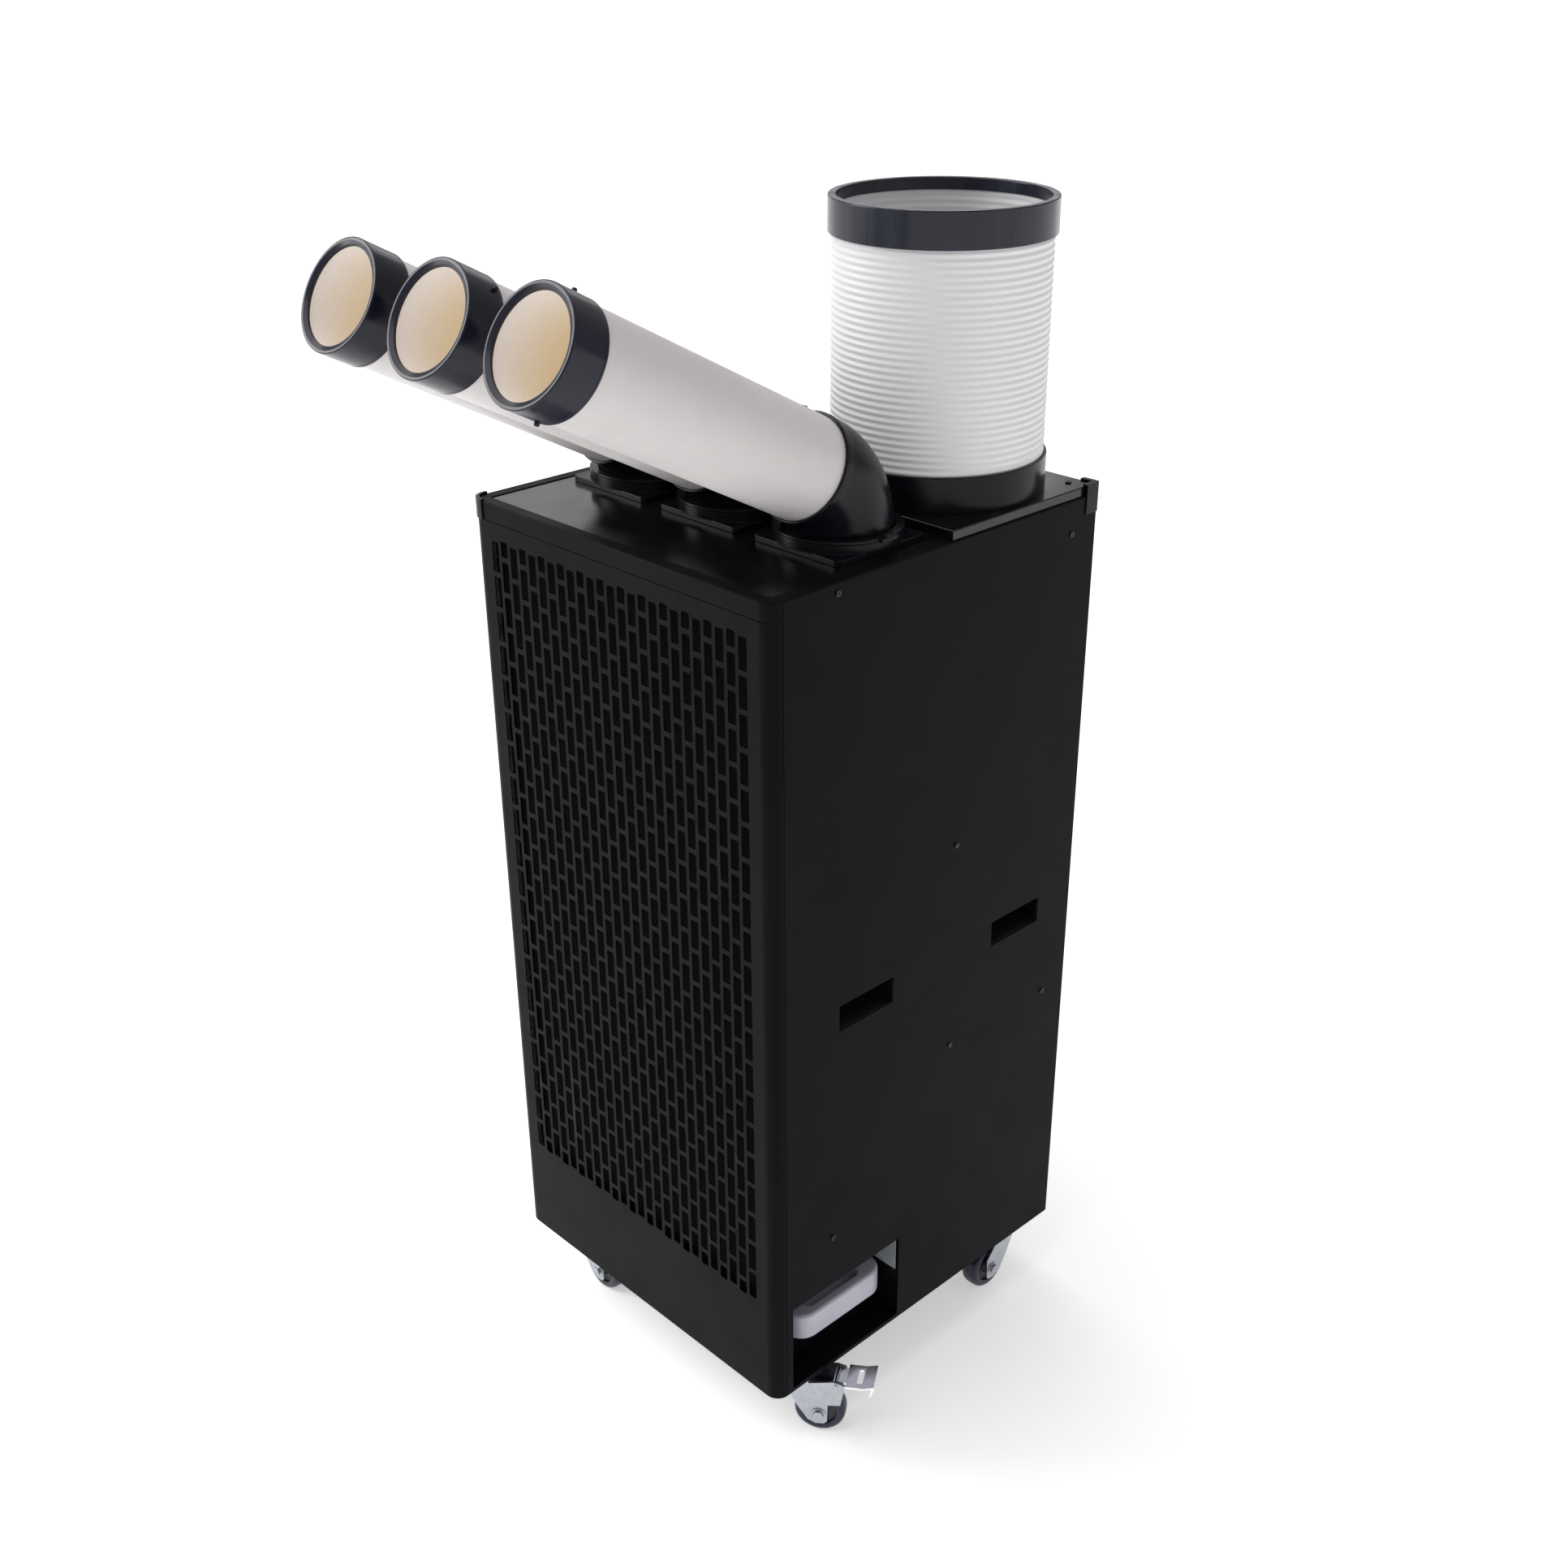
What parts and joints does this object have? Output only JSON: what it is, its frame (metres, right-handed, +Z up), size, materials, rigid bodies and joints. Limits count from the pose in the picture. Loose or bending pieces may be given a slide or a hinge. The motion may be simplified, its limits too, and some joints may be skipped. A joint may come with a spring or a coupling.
{
  "type": "portable air conditioner",
  "caption": "Tall black spot-cooling air conditioner on casters, with swivelling cold-air arms, a ribbed exhaust duct and a slide-out drain tank.",
  "frame": {"origin": "on the floor, under the middle of the cabinet", "axes": "+Z up, the intake grille and the cold-air arms face -Y, the drain tank slides out to +X"},
  "size_m": [0.5637, 0.7687, 1.473],
  "materials": {
    "black_powder_coat": "satin",
    "black_plastic": "satin",
    "white_duct": "satin",
    "white_ribbed_duct": "satin",
    "tank_plastic": "satin",
    "zinc": "satin",
    "pedal_chrome": "polished",
    "caster_tread": "satin",
    "galvanised": "satin",
    "filter_mesh": "matte",
    "fin_aluminium": "satin",
    "copper": "satin",
    "compressor_paint": "gloss",
    "motor_paint": "satin",
    "grey_sheet": "satin",
    "black_screw": "satin",
    "display_glass": "polished",
    "button_plastic": "satin"
  },
  "bodies": {
    "cabinet": {"base_pan": "black_powder_coat", "front_grille": "black_powder_coat", "right_panel": "black_powder_coat", "left_panel": "black_powder_coat", "rear_panel": "black_powder_coat", "top_rim": "black_powder_coat", "top_front_plate": "black_powder_coat", "top_rear_cover": "black_powder_coat", "corner_caps": "black_plastic", "inner_frame": "galvanised", "handle_cups": "black_plastic", "front_filter": "filter_mesh", "evaporator_coil": "fin_aluminium", "condenser_coil": "fin_aluminium", "drain_pan": "galvanised", "cold_plenum": "galvanised", "cold_blower_housing": "galvanised", "fan_motors": "motor_paint", "hot_blower_housing": "galvanised", "exhaust_riser": "galvanised", "compressor": "compressor_paint", "refrigerant_pipes": "copper", "electric_box": "galvanised", "control_panel": "black_plastic", "display_window": "display_glass", "cord_gland": "black_plastic", "tank_bay": "black_powder_coat", "bay_guide_plate": "grey_sheet", "outlet_flanges": "black_plastic", "clamp_rings": "black_plastic", "exhaust_socket": "black_plastic", "exhaust_duct": "white_ribbed_duct", "exhaust_collar": "black_plastic", "panel_screws": "black_screw", "caster_plates": "zinc"},
    "drain_tank": {"drain_tank": "tank_plastic"},
    "cold_fan": {"cold_blower_wheel": "galvanised"},
    "hot_fan": {"hot_blower_wheel": "galvanised"},
    "button_power": {"button_power": "button_plastic"},
    "button_mode": {"button_mode": "button_plastic"},
    "button_fan": {"button_fan": "button_plastic"},
    "arm_left": {"elbow_left": "black_plastic", "cold_tube_left": "white_duct"},
    "nozzle_left": {"nozzle_left": "black_plastic"},
    "arm_middle": {"elbow_middle": "black_plastic", "cold_tube_middle": "white_duct"},
    "nozzle_middle": {"nozzle_middle": "black_plastic"},
    "arm_right": {"elbow_right": "black_plastic", "cold_tube_right": "white_duct"},
    "nozzle_right": {"nozzle_right": "black_plastic"},
    "fork_front_right": {"fork_front_right": "zinc"},
    "wheel_front_right": {"wheel_front_right": "caster_tread"},
    "pedal_front_right": {"pedal_front_right": "pedal_chrome"},
    "fork_front_left": {"fork_front_left": "zinc"},
    "wheel_front_left": {"wheel_front_left": "caster_tread"},
    "pedal_front_left": {"pedal_front_left": "pedal_chrome"},
    "fork_rear_right": {"fork_rear_right": "zinc"},
    "wheel_rear_right": {"wheel_rear_right": "caster_tread"},
    "fork_rear_left": {"fork_rear_left": "zinc"},
    "wheel_rear_left": {"wheel_rear_left": "caster_tread"}
  },
  "joints": [
    {"name": "tank_slide", "type": "slide", "parent": "cabinet", "child": "drain_tank", "axis": [1, 0, 0], "range_m": [0, 0.25]},
    {"name": "cold_fan_spin", "type": "hinge", "parent": "cabinet", "child": "cold_fan", "pos_m": [0, -0.03, 0.88], "axis": [1, 0, 0], "continuous": true},
    {"name": "hot_fan_spin", "type": "hinge", "parent": "cabinet", "child": "hot_fan", "pos_m": [0.1, 0.118, 0.44], "axis": [1, 0, 0], "continuous": true},
    {"name": "button_power_press", "type": "slide", "parent": "cabinet", "child": "button_power", "axis": [0, -1, 0], "range_m": [0, 0.002], "stiffness_N_per_m": 500, "springref_m": -0.001},
    {"name": "button_mode_press", "type": "slide", "parent": "cabinet", "child": "button_mode", "axis": [0, -1, 0], "range_m": [0, 0.002], "stiffness_N_per_m": 500, "springref_m": -0.001},
    {"name": "button_fan_press", "type": "slide", "parent": "cabinet", "child": "button_fan", "axis": [0, -1, 0], "range_m": [0, 0.002], "stiffness_N_per_m": 500, "springref_m": -0.001},
    {"name": "arm_left_swivel", "type": "hinge", "parent": "cabinet", "child": "arm_left", "pos_m": [-0.155, -0.07, 1.15], "axis": [0, 0, 1], "range_deg": [-90, 4]},
    {"name": "nozzle_left_twist", "type": "hinge", "parent": "arm_left", "child": "nozzle_left", "pos_m": [-0.155, -0.44049, 1.39983], "axis": [0, -0.8821, 0.471], "continuous": true},
    {"name": "arm_middle_swivel", "type": "hinge", "parent": "cabinet", "child": "arm_middle", "pos_m": [0, -0.07, 1.15], "axis": [0, 0, 1], "range_deg": [-4, 4]},
    {"name": "nozzle_middle_twist", "type": "hinge", "parent": "arm_middle", "child": "nozzle_middle", "pos_m": [0, -0.44049, 1.39983], "axis": [0, -0.8821, 0.471], "continuous": true},
    {"name": "arm_right_swivel", "type": "hinge", "parent": "cabinet", "child": "arm_right", "pos_m": [0.155, -0.07, 1.15], "axis": [0, 0, 1], "range_deg": [-4, 90]},
    {"name": "nozzle_right_twist", "type": "hinge", "parent": "arm_right", "child": "nozzle_right", "pos_m": [0.155, -0.44049, 1.39983], "axis": [0, -0.8821, 0.471], "continuous": true},
    {"name": "caster_front_right_swivel", "type": "hinge", "parent": "cabinet", "child": "fork_front_right", "pos_m": [0.212, -0.198, 0.09], "axis": [0, 0, 1], "continuous": true},
    {"name": "caster_front_right_roll", "type": "hinge", "parent": "fork_front_right", "child": "wheel_front_right", "pos_m": [0.24185, -0.17787, 0.033], "axis": [-0.5592, 0.829, 0], "continuous": true},
    {"name": "caster_front_right_brake", "type": "hinge", "parent": "fork_front_right", "child": "pedal_front_right", "pos_m": [0.26008, -0.16557, 0.083], "axis": [-0.5592, 0.829, 0], "range_deg": [0, 12]},
    {"name": "caster_front_left_swivel", "type": "hinge", "parent": "cabinet", "child": "fork_front_left", "pos_m": [-0.19, -0.204, 0.09], "axis": [0, 0, 1], "continuous": true},
    {"name": "caster_front_left_roll", "type": "hinge", "parent": "fork_front_left", "child": "wheel_front_left", "pos_m": [-0.154, -0.204, 0.033], "axis": [0, 1, 0], "continuous": true},
    {"name": "caster_front_left_brake", "type": "hinge", "parent": "fork_front_left", "child": "pedal_front_left", "pos_m": [-0.132, -0.204, 0.083], "axis": [0, 1, 0], "range_deg": [0, 12]},
    {"name": "caster_rear_right_swivel", "type": "hinge", "parent": "cabinet", "child": "fork_rear_right", "pos_m": [0.212, 0.21, 0.09], "axis": [0, 0, 1], "continuous": true},
    {"name": "caster_rear_right_roll", "type": "hinge", "parent": "fork_rear_right", "child": "wheel_rear_right", "pos_m": [0.212, 0.174, 0.033], "axis": [1, 0, 0], "continuous": true},
    {"name": "caster_rear_left_swivel", "type": "hinge", "parent": "cabinet", "child": "fork_rear_left", "pos_m": [-0.19, 0.204, 0.09], "axis": [0, 0, 1], "continuous": true},
    {"name": "caster_rear_left_roll", "type": "hinge", "parent": "fork_rear_left", "child": "wheel_rear_left", "pos_m": [-0.1731, 0.17221, 0.033], "axis": [0.8829, 0.4695, 0], "continuous": true}
  ]
}
